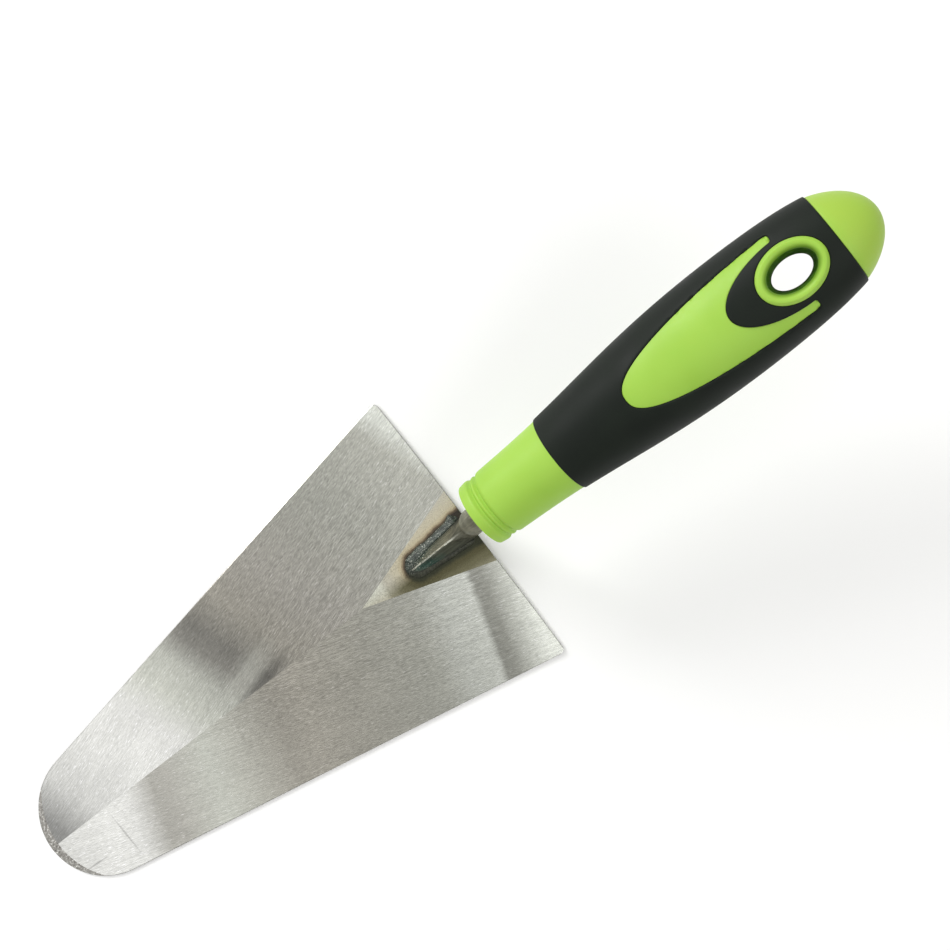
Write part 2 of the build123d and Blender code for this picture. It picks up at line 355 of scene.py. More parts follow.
def blade_region(x, y):
    """0 and 1 are the ground faces to the left and right, 2 is the plateau and 3 the nose bevel."""
    if outside_plateau(x, y) < 0:
        return 2
    if past_bevel(x, y) > 0:
        return 3
    return 0 if y > 0 else 1


def bevel_line():
    """Points along the inner edge of the nose bevel, as far as they lie on the sheet."""
    line = []
    for angle in np.linspace(pi - NOSE_BEVEL_HALF_ANGLE, pi + NOSE_BEVEL_HALF_ANGLE, 41):
        x, y = NOSE_BEVEL_X + NOSE_BEVEL_ARC * cos(angle), NOSE_BEVEL_ARC * sin(angle)
        if hypot(x - NOSE_X, y) < NOSE_RADIUS - EDGE_ROUND - 0.02:
            line.append((x, y))
    return line


def add_blade_top(shape, inner):
    """The top face, cut along the plateau's sides, the middle line and the nose bevel."""
    count = len(inner)
    bevel = bevel_line()
    points = [tuple(p) for p in inner] + bevel
    lines = [(i, (i + 1) % count) for i in range(count)]
    lines += [(count + i, count + i + 1) for i in range(len(bevel) - 1)]
    first = len(points)
    points += [(-EDGE_ROUND, PLATEAU_HALF_WIDTH), (-PLATEAU_LENGTH, 0), (-EDGE_ROUND, -PLATEAU_HALF_WIDTH),
               (bevel[len(bevel) // 2][0] + 0.01, 0)]
    lines += [(first, first + 1), (first + 1, first + 2), (first + 1, first + 3)]
    # Outside faces are dropped: output type 1 keeps what lies inside the outline.
    made = delaunay_2d_cdt([Vector(p) for p in points], lines, [tuple(range(count))], 1, 1e-5)
    flat, triangles = made[0], made[2]
    xy = np.array([(p.x, p.y) for p in flat])
    shape.add_points(np.column_stack([xy, blade_top(xy[:, 0], xy[:, 1])]))
    shape.faces += [tuple(triangle) for triangle in triangles]


def build_blade(materials):
    outline, normals = blade_outline()
    inner = outline - normals * EDGE_ROUND
    shape = Shape()
    add_blade_top(shape, inner)
    rim = blade_top(inner[:, 0], inner[:, 1])
    rolls = ((EDGE_ROUND, 0.0), (EDGE_ROUND * 0.3, EDGE_ROUND * 0.3), (0.0, EDGE_ROUND))
    rings = [inset_ring(outline, normals, distance, rim - drop) for distance, drop in rolls]
    rings += [inset_ring(outline, normals, distance, height) for distance, height in rolls[::-1]]
    shape.add_rings(rings, last_hub=(-BLADE_LENGTH / 2, 0, 0))
    blade = shape.make_piece("blade_plate", materials[0], "blade", HEEL_X, 0.004)
    for material in materials[1:]:
        blade.data.materials.append(material)
    for polygon in blade.data.polygons:
        x, y = polygon.center.x / MM - HEEL_X, polygon.center.y / MM
        on_face = abs(polygon.normal.z) > 0.9
        polygon.use_smooth = not on_face
        polygon.material_index = blade_region(x, y) if on_face else 4
        # The sole has no nose bevel.
        if polygon.normal.z < -0.9 and polygon.material_index == 3:
            polygon.material_index = 0 if y > 0 else 1
    return blade


# ---- Shank

SECTION_TURNS = np.linspace(0, pi, 33)
BEND_Z = SHEET_TOP + LOWER_BEND_RADIUS + ROD_RADIUS


def foot_half_width(x):
    share = (x - FOOT_TOE_X) / (FOOT_HEEL_X - FOOT_TOE_X)
    return FOOT_TOE_HALF_WIDTH + (FOOT_HEEL_HALF_WIDTH - FOOT_TOE_HALF_WIDTH) * share


def foot_slope(x):
    """0 at the toe and 1 where the lower bend starts."""
    return (x - FOOT_TOE_X) / (BEND_X - FOOT_TOE_X)


def foot_top(x):
    """Height of the foot's ridge above the blade."""
    return TOE_HEIGHT + (2 * ROD_RADIUS + BEND_EXTRA_HEIGHT - TOE_HEIGHT) * foot_slope(x)


def ridge_half_width(x):
    """Half width of the small flat along the ridge."""
    swell = RIDGE_SWELL * sin(pi * min(1.0, foot_slope(x))) ** 2
    return min(RIDGE_HALF_WIDTH + swell, foot_half_width(x) * 0.6)


def ridge_point(turn, base, top, flat):
    """A point on half of the foot's ridged section: across, and up from the blade."""
    flat_end, side_end = 0.16, 0.74
    share = turn / pi
    if share < flat_end:
        return flat * share / flat_end, top
    if share < side_end:
        s = (share - flat_end) / (side_end - flat_end)
        hollow = FACET_HOLLOW * sin(pi * s)
        return flat + (base - flat) * (s - hollow), top * (1 - s)
    s = (share - side_end) / (1 - side_end)
    return base * (1 - s), 0.0


def mirrored(half):
    """Both sides of a symmetric section as one closed ring."""
    return half + [(x, -y, z) for x, y, z in half[1:-1]][::-1]


def foot_rings():
    """The forged tongue, rounded off at the toe."""
    toe_stations = FOOT_TOE_X + TOE_ROUND * (1 - np.cos(np.linspace(0, QUARTER, 9)))
    rings = []
    for x in np.concatenate([toe_stations, np.linspace(FOOT_TOE_X + 2.8, BEND_X, 16)]):
        toe = sqrt(max(0.0, 1 - (1 - min(1.0, (x - FOOT_TOE_X) / TOE_ROUND)) ** 2))
        base = foot_half_width(x) * max(toe, 0.06)
        top = foot_top(x) * (0.25 + 0.75 * toe)
        flat = min(ridge_half_width(x), base * 0.6)
        section = [ridge_point(turn, base, top, flat) for turn in SECTION_TURNS]
        rings.append(mirrored([(x, across, SHEET_TOP + up) for across, up in section]))
    return rings


def bend_rings():
    """The lower bend, where the ridge runs out into the round rod."""
    inner, outer = LOWER_BEND_RADIUS - ROD_RADIUS, LOWER_BEND_RADIUS + ROD_RADIUS
    lift = atan2(FOOT_HEEL_X - BEND_X, outer)
    rings = []
    for angle in np.linspace(0, QUARTER, 25)[1:]:
        round_share = float(smooth_step(ROUND_FROM, ROUND_TO, angle))
        base = foot_half_width(min(BEND_X + outer * tan(min(angle, lift)), FOOT_HEEL_X))
        flat_outer = outer / cos(min(angle, lift))
        settle = float(smooth_step(lift, SETTLE_TO, angle))
        outer_here = flat_outer + (outer - flat_outer) * settle
        inner_here = inner - BEND_EXTRA_HEIGHT * (1 - round_share)
        depth = outer_here - inner_here
        half = []
        for turn in SECTION_TURNS:
            across, up = ridge_point(turn, base, depth, BEND_RIDGE_HALF_WIDTH)
            ridge = np.array([across, outer_here - up])
            circle = np.array([ROD_RADIUS * sin(turn), inner_here + depth * (1 - cos(turn)) / 2])
            across, radius = ridge + (circle - ridge) * round_share
            half.append((BEND_X + radius * sin(angle), across, BEND_Z - radius * cos(angle)))
        rings.append(mirrored(half))
    return rings


def rod_ring(centre, up, width=ROD_RADIUS, thickness=ROD_RADIUS):
    """A section across the rod: round, or an ellipse where it is pressed flat."""
    side = Vector((0, 1, 0))
    return mirrored([tuple(centre + up * (thickness * cos(turn)) + side * (width * sin(turn)))
                     for turn in SECTION_TURNS])


def rod_rings():
    """The riser, the elbow and the tang with its flattened wings."""
    mouth = MOUTH - Vector((HEEL_X, 0, 0))
    elbow_centre = mouth - HANDLE_UP * ELBOW_RADIUS
    rings = [rod_ring(Vector((RISER_X, 0, z)), Vector((-1, 0, 0)))
             for z in np.linspace(BEND_Z, elbow_centre.z, 9)[1:]]
    rise = atan2(-HANDLE_UP.x, HANDLE_UP.z)
    for angle in np.linspace(pi, QUARTER + rise, 15)[1:]:
        up = Vector((cos(angle), 0, sin(angle)))
        rings.append(rod_ring(elbow_centre + up * ELBOW_RADIUS, up))
    for distance in np.linspace(0, TANG_LENGTH, 57)[1:]:
        wing = float(smooth_step(WING_START - 3, WING_START + 1, distance)
                     - smooth_step(WING_END - 1, WING_END + 3, distance))
        width = ROD_RADIUS + (WING_HALF_WIDTH - ROD_RADIUS) * wing
        thickness = ROD_RADIUS + (WING_HALF_THICKNESS - ROD_RADIUS) * wing
        rings.append(rod_ring(mouth + HANDLE_AXIS * distance, HANDLE_UP, width, thickness))
    return rings


def build_shank(material):
    shape = Shape()
    shape.add_capped_rings(foot_rings() + bend_rings() + rod_rings())
    return shape.make_piece("shank_forging", material, "shank", HEEL_X, crease_degrees=40)


# ---- Weld bead

def facet_inset(x, height):
    """How far inside the foot's outline its facet reaches a height."""
    base, top, flat = foot_half_width(x), foot_top(x), ridge_half_width(x)
    if height >= top:
        return base * 0.9
    share = 1 - height / top
    return base - flat - (base - flat) * (share - FACET_HOLLOW * sin(pi * share))


def foot_outline():
    """Base outline of the foot, from the left of the heel round the toe to the right."""
    left = [(x, foot_half_width(x)) for x in np.linspace(FOOT_HEEL_X - 0.6, FOOT_TOE_X + TOE_ROUND, 46)]
    toe_width = left[-1][1]
    for angle in np.linspace(0, QUARTER, 13)[1:]:
        left.append((FOOT_TOE_X + TOE_ROUND * (1 - sin(angle)), toe_width * cos(angle)))
    return np.array(left + [(x, -y) for x, y in left[:-1]][::-1])


def weld_line():
    """Distances along the foot's outline, with the points there and their outward normals."""
    line = foot_outline()
    along = np.gradient(line, axis=0)
    along /= np.linalg.norm(along, axis=1)[:, None]
    outward = np.column_stack([along[:, 1], -along[:, 0]])
    travelled = np.concatenate([[0], np.cumsum(np.linalg.norm(np.diff(line, axis=0), axis=1))])
    run = np.linspace(0, travelled[-1], 330)
    points, normals = (np.column_stack([np.interp(run, travelled, column) for column in table.T])
                       for table in (line, outward))
    return run, points, normals


def build_weld_bead(material):
    run, points, normals = weld_line()
    random = np.random.default_rng(SEED)
    wander = np.interp(run, np.linspace(0, run[-1], WELD_WANDER_POINTS),
                       random.uniform(-1, 1, WELD_WANDER_POINTS))
    ends = np.minimum(smooth_step(-0.2, 1.6, run), smooth_step(-0.2, 1.6, run[-1] - run))
    ear = WELD_EAR * np.exp(-((run - 1.6) / 1.5) ** 2)
    rings = []
    for i, (point, normal) in enumerate(zip(points, normals)):
        ripple = sin(2 * pi * run[i] / WELD_RIPPLE + 4 * wander[i])
        left = float(smooth_step(-2.2, 0.8, point[1]))
        right_share = WELD_RIGHT_SHARE + (1 - WELD_RIGHT_SHARE) * left
        width = (WELD_WIDTH + WELD_WANDER * wander[i] + WELD_RIPPLE_WIDTH * ripple) * right_share + ear[i]
        width *= 0.35 + 0.65 * ends[i]
        reach = (WELD_HEIGHT + 0.15 * wander[i]) * (0.65 + 0.35 * left) * (0.3 + 0.7 * ends[i])
        # The weld climbs the foot's facet to its own height, or covers the low toe altogether.
        bite = facet_inset(point[0], reach - 0.12)
        section = [(-bite - 0.4, 0.0), (-bite - 0.4, reach - 0.5)]
        for turn in np.linspace(QUARTER, 0, 12):
            out = -bite + (width + bite) * cos(turn) ** 1.45
            up = reach * sin(turn) ** 1.3 + WELD_RIPPLE_LIFT * ripple * sin(2 * turn)
            section.append((out, max(up, 0.0)))
        rings.append([(point[0] + normal[0] * out, point[1] + normal[1] * out, SHEET_TOP + up)
                      for out, up in section])
    shape = Shape()
    shape.add_capped_rings(rings)
    return shape.make_piece("weld_fillet", material, "weld_bead", HEEL_X)


# ---- Handle surface

width_curve = np.polynomial.Polynomial.fit(SKIN_STATIONS, SKIN_HALF_WIDTHS, 6)
thickness_curve = np.polynomial.Polynomial.fit(SKIN_STATIONS, SKIN_HALF_THICKNESSES, 6)


def in_frame(across, up, distance):
    """Points from the handle's own directions to the frame's."""
    along = np.multiply.outer(np.asarray(distance, float), np.array(HANDLE_AXIS))
    lifted = np.multiply.outer(np.asarray(up, float), np.array(HANDLE_UP))
    aside = np.multiply.outer(np.asarray(across, float), np.array([0.0, 1.0, 0.0]))
    return np.array(MOUTH) + along + lifted + aside


def skin(turn, distance, inset):
    """Points at a turn round the handle from its top, a distance from its mouth, below the skin."""
    turn, distance, inset = np.broadcast_arrays(turn, distance, inset)
    across = (width_curve(distance) - inset) * np.sin(turn)
    up = (thickness_curve(distance) - inset) * np.cos(turn)
    return in_frame(across, up, distance)


def unroll(across, distance):
    """A point of the plan view, on the flat sheet that the skin unrolls to."""
    return UNROLL * np.arcsin(np.clip(across / width_curve(distance), -1, 1)), distance


def rolled_edge(distance, radius):
    """How far a moulded edge drops at a distance from its rim."""
    away = np.clip(1 - distance / radius, 0, 1)
    return radius * (1 - np.sqrt(np.maximum(1 - away**2, 0)))


def panel_loop():
    """The panel's outline on the unrolled sheet: teardrop sides, square horn ends and the notch."""
    side = [(0.0, PANEL_TIP)]
    for turn in np.linspace(0, QUARTER, 46)[1:]:
        across = PANEL_HALF_WIDTH * sin(turn) ** (2 / PANEL_FULLNESS)
        distance = PANEL_END - (PANEL_END - PANEL_TIP) * cos(turn)
        if PANEL_TIP + 0.12 < distance < PANEL_END - 1.1:
            side.append((across, distance))
    side += [(PANEL_HALF_WIDTH - 0.08, PANEL_END - 0.6), (PANEL_HALF_WIDTH - 0.36, PANEL_END - 0.14),
             (PANEL_HALF_WIDTH - 0.8, PANEL_END)]
    notch = [(NOTCH_HALF_WIDTH + 0.3, PANEL_END - 0.08)]
    for turn in np.linspace(0.03, pi - 0.03, 60):
        notch.append((NOTCH_HALF_WIDTH * cos(turn), PANEL_END - NOTCH_LENGTH * sin(turn)))
    notch.append((-NOTCH_HALF_WIDTH - 0.3, PANEL_END - 0.08))
    loop = np.array(side + notch + [(-x, z) for x, z in side[1:]][::-1])
    return np.column_stack(unroll(loop[:, 0], loop[:, 1]))


def eyelet_loop(inset=0.0):
    angles = np.linspace(0, 2 * pi, EYELET_STEPS, endpoint=False)
    across = (EYELET_WIDTH / 2 - inset) * np.cos(angles)
    distance = EYELET_FROM_MOUTH + (EYELET_LENGTH / 2 - inset) * np.sin(angles)
    return across, distance


def loop_distance(points, loop):
    """Distance of each point from a closed loop, and whether it lies inside."""
    points, loop = np.asarray(points, float), np.asarray(loop, float)
    nearest = np.full(len(points), 1e9)
    inside = np.zeros(len(points), bool)
    for a, b in zip(loop, np.roll(loop, -1, axis=0)):
        span = b - a
        share = np.clip(((points - a) @ span) / max(span @ span, 1e-12), 0, 1)
        nearest = np.minimum(nearest, np.linalg.norm(points - a - share[:, None] * span, axis=1))
        crosses = (a[1] > points[:, 1]) != (b[1] > points[:, 1])
        with np.errstate(divide="ignore", invalid="ignore"):
            at = a[0] + (points[:, 1] - a[1]) / (b[1] - a[1]) * span[0]
        inside ^= crosses & (points[:, 0] < at)
    return nearest, inside


def offset_rings(loop):
    """Extra points beside a loop, to both sides, where its rolled edge needs them."""
    along = np.roll(loop, -1, axis=0) - np.roll(loop, 1, axis=0)
    along /= np.linalg.norm(along, axis=1)[:, None]
    normal = np.column_stack([along[:, 1], -along[:, 0]])
    found = []
    for distance in EDGE_RINGS:
        for side in (1, -1):
            ring = loop + normal * distance * side
            found.append(ring[loop_distance(ring, loop)[0] > 0.93 * distance])
    return np.concatenate(found)


class Sheet:
    """The upper half of the rubber's length, unrolled, cut along the panel and the eyelet, in triangles."""

    def __init__(self):
        panel = panel_loop()
        eyelet = np.column_stack(unroll(*eyelet_loop()))
        self.cut(panel, eyelet)
        self.to_panel = loop_distance(self.flat, panel)[0]
        self.to_eyelet = loop_distance(self.flat, eyelet)[0]
        centres = self.flat[self.triangles].mean(1)
        in_panel, in_eyelet = loop_distance(centres, panel)[1], loop_distance(centres, eyelet)[1]
        self.panel = self.triangles[in_panel & ~in_eyelet]
        self.rubber = self.triangles[~in_panel & ~in_eyelet]

    def cut(self, panel, eyelet):
        edge = UNROLL * QUARTER
        turns = np.linspace(-edge, edge, SIDE_STEPS + 1)
        rows = int(round((RUBBER_END - RUBBER_START) / SKIN_STEP))
        distances = np.linspace(RUBBER_START, RUBBER_END, rows + 1)
        ends = [(turn, distance) for inset in EDGE_RINGS
                for distance in (RUBBER_START + inset, RUBBER_END - inset) for turn in turns]
        border = [(turns[0], d) for d in distances] + [(turn, RUBBER_END) for turn in turns[1:]]
        border += [(turns[-1], d) for d in distances[::-1][1:]]
        border += [(turn, RUBBER_START) for turn in turns[::-1][1:-1]]
        grid = np.array([(t, d) for t in turns[1:-1] for d in distances[1:-1]])
        clear = np.minimum(loop_distance(grid, panel)[0], loop_distance(grid, eyelet)[0])
        loops = [np.array(border), panel, eyelet]
        points = np.concatenate(loops + [offset_rings(panel), offset_rings(eyelet), np.array(ends),
                                         grid[clear > 0.62]])
        lines = []
        first = 0
        for loop in loops:
            lines += [(first + i, first + (i + 1) % len(loop)) for i in range(len(loop))]
            first += len(loop)
        made = delaunay_2d_cdt([Vector(p) for p in points], lines, [], 0, 1e-6)
        self.flat = np.array([(p.x, p.y) for p in made[0]])
        triangles = np.array([t for t in made[2] if len(t) == 3])
        corners = self.flat[triangles]
        u = corners[:, 1] - corners[:, 0]
        v = corners[:, 2] - corners[:, 0]
        area = np.abs(u[:, 0] * v[:, 1] - u[:, 1] * v[:, 0])
        self.triangles = triangles[area > 1e-7]

    def add_half(self, shape, triangles, inset, side):
        """Some of the triangles at an inset, on the upper (1) or lower (-1) face."""
        turn = self.flat[:, 0] / UNROLL
        if side < 0:
            turn = pi - turn
        start = shape.add_points(skin(turn, self.flat[:, 1], inset))
        for a, b, c in triangles:
            face = (start + a, start + b, start + c)
            shape.faces.append(face if side > 0 else face[::-1])
        return start

    def on_side_seam(self, edge):
        limit = UNROLL * QUARTER - 1e-4
        return all(abs(self.flat[i][0]) > limit for i in edge)


def border_edges(triangles):
    """Edges that only one of these triangles has."""
    seen = {}
    for a, b, c in triangles:
        for edge in ((a, b), (b, c), (c, a)):
            key = (min(edge), max(edge))
            seen[key] = None if key in seen else edge
    return [edge for edge in seen.values() if edge]


def add_walls(shape, edges, first, second):
    for a, b in edges:
        shape.faces.append((first + a, first + b, second + b, second + a))


def build_grip(sheet, material):
    to_end = np.minimum(sheet.flat[:, 1] - RUBBER_START, RUBBER_END - sheet.flat[:, 1])
    outer = rolled_edge(sheet.to_panel, RUBBER_EDGE_ROUND) + rolled_edge(sheet.to_eyelet, RUBBER_EDGE_ROUND)
    outer += rolled_edge(to_end, RUBBER_END_ROUND)
    # The halves meet at the side seam, so no wall is made there.
    edges = [edge for edge in border_edges(sheet.rubber) if not sheet.on_side_seam(edge)]
    shape = Shape()
    for side in (1, -1):
        first = sheet.add_half(shape, sheet.rubber, outer, side)
        second = sheet.add_half(shape, sheet.rubber, RUBBER_THICKNESS, side)
        add_walls(shape, edges, first, second)
    shape.drop_unused_points()
    return shape.make_piece("grip_rubber", material, "grip_overmould", crease_degrees=50)


# ---- Handle core

def eyelet_profile():
    """(inward from the outside, above the skin) over the bead, which rolls down into the hole."""
    crest = EYELET_WALL * EYELET_CREST
    bead = [(crest * (1 - cos(turn)), EYELET_STAND * sin(turn))
            for turn in np.linspace(0, QUARTER, 12)]
    for turn in np.linspace(0, QUARTER, 20)[1:]:
        inward = crest + (EYELET_WALL - crest) * sin(turn)
        bead.append((inward, EYELET_STAND - EYELET_ROLL * (1 - cos(turn))))
    return bead


def add_eyelet(shape, side):
    """The raised oval bead and the wall of the hole, down to the handle's middle plane."""
    across, distance = eyelet_loop()
    own_turn = np.arcsin(np.clip(across / width_curve(distance), -1, 1))
    rim_skin = thickness_curve(distance) * np.cos(own_turn)
    middle_across, middle_distance = eyelet_loop(EYELET_WALL / 2)
    lean = np.clip(middle_across / (width_curve(middle_distance) - 0.001), -1, 1)
    bead_skin = thickness_curve(middle_distance) * np.sqrt(1 - lean**2)
    # The bead's crest lies flatter than the skin round it.
    crown = bead_skin + 0.25 * (thickness_curve(middle_distance) - bead_skin)
    rings = [skin(own_turn if side > 0 else pi - own_turn, distance, RUBBER_THICKNESS)]

    def add_ring(inward, up):
        ring_across, ring_distance = eyelet_loop(inward)
        rings.append(in_frame(ring_across, side * up, ring_distance))

    for inward, above in eyelet_profile():
        weight = float(smooth_step(0, EYELET_WALL * 0.3, inward))
        level = rim_skin + (crown - rim_skin) * weight
        # The bead's outside starts below the skin, so it rises out of the panel and the rubber.
        if inward < 0.001:
            level = rim_skin - 0.4
        add_ring(inward, level + above)
    for drop, inward in EYELET_DRAFT:
        add_ring(inward, crown + EYELET_STAND - EYELET_ROLL - drop)
    add_ring(EYELET_WAIST, np.zeros(EYELET_STEPS))
    shape.add_rings(rings)


def lip_inset(distance):
    """The neck's own relief: a rolled lip, a groove, a fine bead and a second groove."""
    first, second = LIP_GROOVES
    inset = RUBBER_STEP
    for groove in LIP_GROOVES:
        inset += LIP_GROOVE_DEPTH * exp(-((distance - groove) / LIP_GROOVE_WIDTH) ** 2)
    if distance < first:
        inset -= LIP_SWELL * sin(pi * distance / first)
    if first < distance < second:
        inset += LIP_BEAD_SET_BACK
    return inset


def add_neck_rings(shape, turns):
    """Bore for the tang, end face, rolled lip, grooves and the smooth neck."""
    bore_end = TANG_LENGTH + 0.5
    bore = [(BORE_RADIUS, bore_end), (BORE_RADIUS, 20.0), (BORE_RADIUS, 0.4),
            (BORE_RADIUS + 0.12, 0.12), (BORE_RADIUS + 0.4, 0.0)]
    rings = [in_frame(radius * np.sin(turns), radius * np.cos(turns), distance) for radius, distance in bore]
    for turn in np.linspace(0, QUARTER, 10):
        distance = MOUTH_EDGE_RADIUS * (1 - sin(turn))
        rolled = MOUTH_EDGE_RADIUS * (1 - cos(QUARTER - turn))
        rings.append(skin(turns, distance, lip_inset(distance) + rolled))
    grooved = np.arange(MOUTH_EDGE_RADIUS + 0.2, GROOVES_END, 0.12)
    smooth = np.arange(GROOVES_END, RUBBER_START, 0.8)
    for distance in (*grooved, *smooth, RUBBER_START):
        rings.append(skin(turns, distance, lip_inset(distance)))
    rings.append(skin(turns, RUBBER_START, RUBBER_THICKNESS))
    shape.add_rings(rings, first_hub=in_frame(0.0, 0.0, bore_end))


def add_butt_rings(shape, turns):
    """Domed butt: the end of an ellipsoid, with a softened edge beside the rubber."""
    start = asin(DOME_CENTRE_BACK / DOME_LENGTH)
    swell = 1 / cos(start)
    half_width = (width_curve(RUBBER_END) - RUBBER_STEP) * swell
    half_thickness = (thickness_curve(RUBBER_END) - RUBBER_STEP) * swell
    rings = [skin(turns, RUBBER_END, RUBBER_THICKNESS)]
    for angle in (start, *np.linspace(start + 0.006, QUARTER - 0.02, 44)):
        past = DOME_LENGTH * sin(angle) - DOME_CENTRE_BACK
        soft = rolled_edge(past, DOME_EDGE_ROUND)
        across = half_width * cos(angle) - soft
        up = half_thickness * cos(angle) - soft
        rings.append(in_frame(across * np.sin(turns), up * np.cos(turns), RUBBER_END + past))
    shape.add_rings(rings, last_hub=in_frame(0.0, 0.0, RUBBER_END + DOME_LENGTH - DOME_CENTRE_BACK))


def build_core(sheet, material, wall_material):
    panel_inset = RUBBER_STEP + rolled_edge(sheet.to_panel, PANEL_EDGE_ROUND)
    shape = Shape()
    for side in (1, -1):
        first = sheet.add_half(shape, sheet.panel, panel_inset, side)
        second = sheet.add_half(shape, sheet.rubber, RUBBER_THICKNESS, side)
        add_walls(shape, border_edges(sheet.panel), first, second)
        add_eyelet(shape, side)
    upper = np.linspace(-QUARTER, QUARTER, SIDE_STEPS + 1)
    turns = np.concatenate([upper, pi - upper[-2:0:-1]])
    add_neck_rings(shape, turns)
    add_butt_rings(shape, turns)
    shape.drop_unused_points()
    core = shape.make_piece("handle_moulding", material, "handle_core", crease_degrees=50)
    # The second material, for the hole's wall, carries painted shade.
    core.data.materials.append(wall_material)
    for polygon in core.data.polygons:
        offset = polygon.center / MM - MOUTH
        along = (offset.dot(HANDLE_AXIS) - EYELET_FROM_MOUTH) / (EYELET_LENGTH / 2 - EYELET_WALL)
        in_hole = hypot(offset.y / (EYELET_WIDTH / 2 - EYELET_WALL), along) < 1.01
        polygon.material_index = 1 if in_hole else 0
    return core


# ---- Materials

def grey(level):
    return level, level, level


def display(*stops):
    """Ramp stops from positions with display colours."""
    return [(position, linear(*color)) for position, *color in stops]


class Nodes:
    """One material's node tree, with short names for the nodes that it uses."""

    def __init__(self, name, **values):
        self.material = bpy.data.materials.new(name)
        self.material.use_nodes = True
        self.tree = self.material.node_tree
        self.tree.nodes.clear()
        self.shader = self.add("BsdfPrincipled", {
            key.replace("_", " ").title().replace("Ior", "IOR"): value for key, value in values.items()})
        self.add("OutputMaterial", {"Surface": self.shader.outputs["BSDF"]})
        self.place = self.add("TexCoord").outputs["Object"]
        self.last_bump = None

    def put(self, target, values):
        """Sets a node's inputs, by name or number. A socket as the value is linked."""
        for key, value in values.items():
            if isinstance(value, bpy.types.NodeSocket):
                self.tree.links.new(value, target.inputs[key])
            else:
                target.inputs[key].default_value = value

    def add(self, kind, values=None, **settings):
        node = self.tree.nodes.new("ShaderNode" + kind)
        for name, value in settings.items():
            setattr(node, name, value)
        self.put(node, values or {})
        return node

    def mapped(self, source, location, rotation, scale, kind):
        values = {"Vector": source, "Location": location, "Rotation": rotation, "Scale": scale}
        return self.add("Mapping", values, vector_type=kind).outputs["Vector"]

    def noise(self, cells, detail, roughness, turn=0.0, move=(0, 0, 0)):
        """Noise with so many cells in a millimetre, along each axis turned about Z, and then moved."""
        cells = cells if isinstance(cells, tuple) else grey(cells)
        turned = self.mapped(self.place, (0, 0, 0), (0, 0, turn), (1, 1, 1), "POINT")
        place = self.mapped(turned, move, (0, 0, 0), tuple(c / MM for c in cells), "POINT")
        values = {"Vector": place, "Scale": 1.0, "Detail": detail, "Roughness": roughness}
        return self.add("TexNoise", values).outputs["Fac"]

    def ramp(self, value, stops, smooth=True):
        """The colours of (position, colour) stops."""
        node = self.add("ValToRGB", {"Fac": value})
        node.color_ramp.interpolation = "EASE" if smooth else "LINEAR"
        elements = node.color_ramp.elements
        while len(elements) < len(stops):
            elements.new(0.5)
        for element, (position, color) in zip(elements, stops):
            element.position = position
            element.color = (*color, 1)
        return node.outputs["Color"]

    def shade(self, value, floor, low, high):
        """A grey multiplier from a floor up to 1."""
        return self.ramp(value, [(low, grey(floor)), (high, grey(1.0))])

    def spread(self, value, low, high, from_low=0.0, from_high=1.0, kind="LINEAR"):
        """A value's place between two limits, as a value between two others."""
        values = {"Value": value, "From Min": from_low, "From Max": from_high, "To Min": low, "To Max": high}
        return self.add("MapRange", values, interpolation_type=kind).outputs["Result"]

    def maths(self, kind, a, b=0.0):
        return self.add("Math", {0: a, 1: b}, operation=kind).outputs["Value"]

    def mix(self, share, a, b, kind="MIX"):
        """Two colours mixed. A mix node's colour sockets are inputs 6 and 7 and output 2."""
        a, b = ((*color, 1) if isinstance(color, tuple) else color for color in (a, b))
        return self.add("Mix", {0: share, 6: a, 7: b}, data_type="RGBA", blend_type=kind).outputs[2]

    def multiply(self, a, b):
        return self.mix(1.0, a, b, "MULTIPLY")

    def from_heel(self, turn=0.0):
        """Distances in millimetres from the middle of the heel edge, along axes turned about Z."""
        place = self.mapped(self.place, (HEEL_X * MM, 0, 0), (0, 0, turn), (MM, MM, MM), "TEXTURE")
        return self.add("SeparateXYZ", {0: place}).outputs

    def ellipse(self, centre, size, rotation):
        """Below 1 inside an ellipse in plan, and above 1 outside it."""
        scale = (size[0] / 2 * MM, size[1] / 2 * MM, FAR_UP_M)
        place = self.mapped(self.place, tuple(part * MM for part in centre), rotation, scale, "TEXTURE")
        return self.add("VectorMath", {0: place}, operation="LENGTH").outputs["Value"]

    def reflection_banding(self, lay, waver, bands):
        """Painted reflections as tone across the grinding passes: stops at distances along the lay from the
        heel edge.
        """
        distance = self.maths("ADD", self.from_heel(lay)[0], waver)
        first, last = bands[0][0], bands[-1][0]
        stops = [((at - first) / (last - first), tuple(level * part for part in hue))
                 for at, level, hue in bands]
        return self.ramp(self.spread(distance, 0, 1, first, last), stops, smooth=False)

    def patch(self, place, size, turn, soft, waver):
        """1 inside a soft-edged ellipse on the blade, with its place counted from the heel edge."""
        edge = self.ellipse((place[0] + HEEL_X, place[1], 0), size, (0, 0, radians(turn)))
        return self.spread(self.maths("ADD", edge, waver), 0.0, 1.0, 1 + soft, 1 - soft, "SMOOTHSTEP")

    def two_sided(self, value, y, low, high, left, right):
        """One value's colours to the left and to the right of a soft line along the tool."""
        side = self.spread(y, 1.0, 0.0, low, high)
        return self.mix(side, self.ramp(value, display(*left)), self.ramp(value, display(*right)))

    def bump(self, height, strength, distance):
        values = {"Strength": strength, "Distance": distance * MM, "Height": height}
        if self.last_bump is not None:
            values["Normal"] = self.last_bump
        self.last_bump = self.add("Bump", values).outputs["Normal"]
        self.put(self.shader, {"Normal": self.last_bump})

    def surface(self, color, roughness):
        """The finished material."""
        self.put(self.shader, {"Base Color": color, "Roughness": roughness})
        return self.material


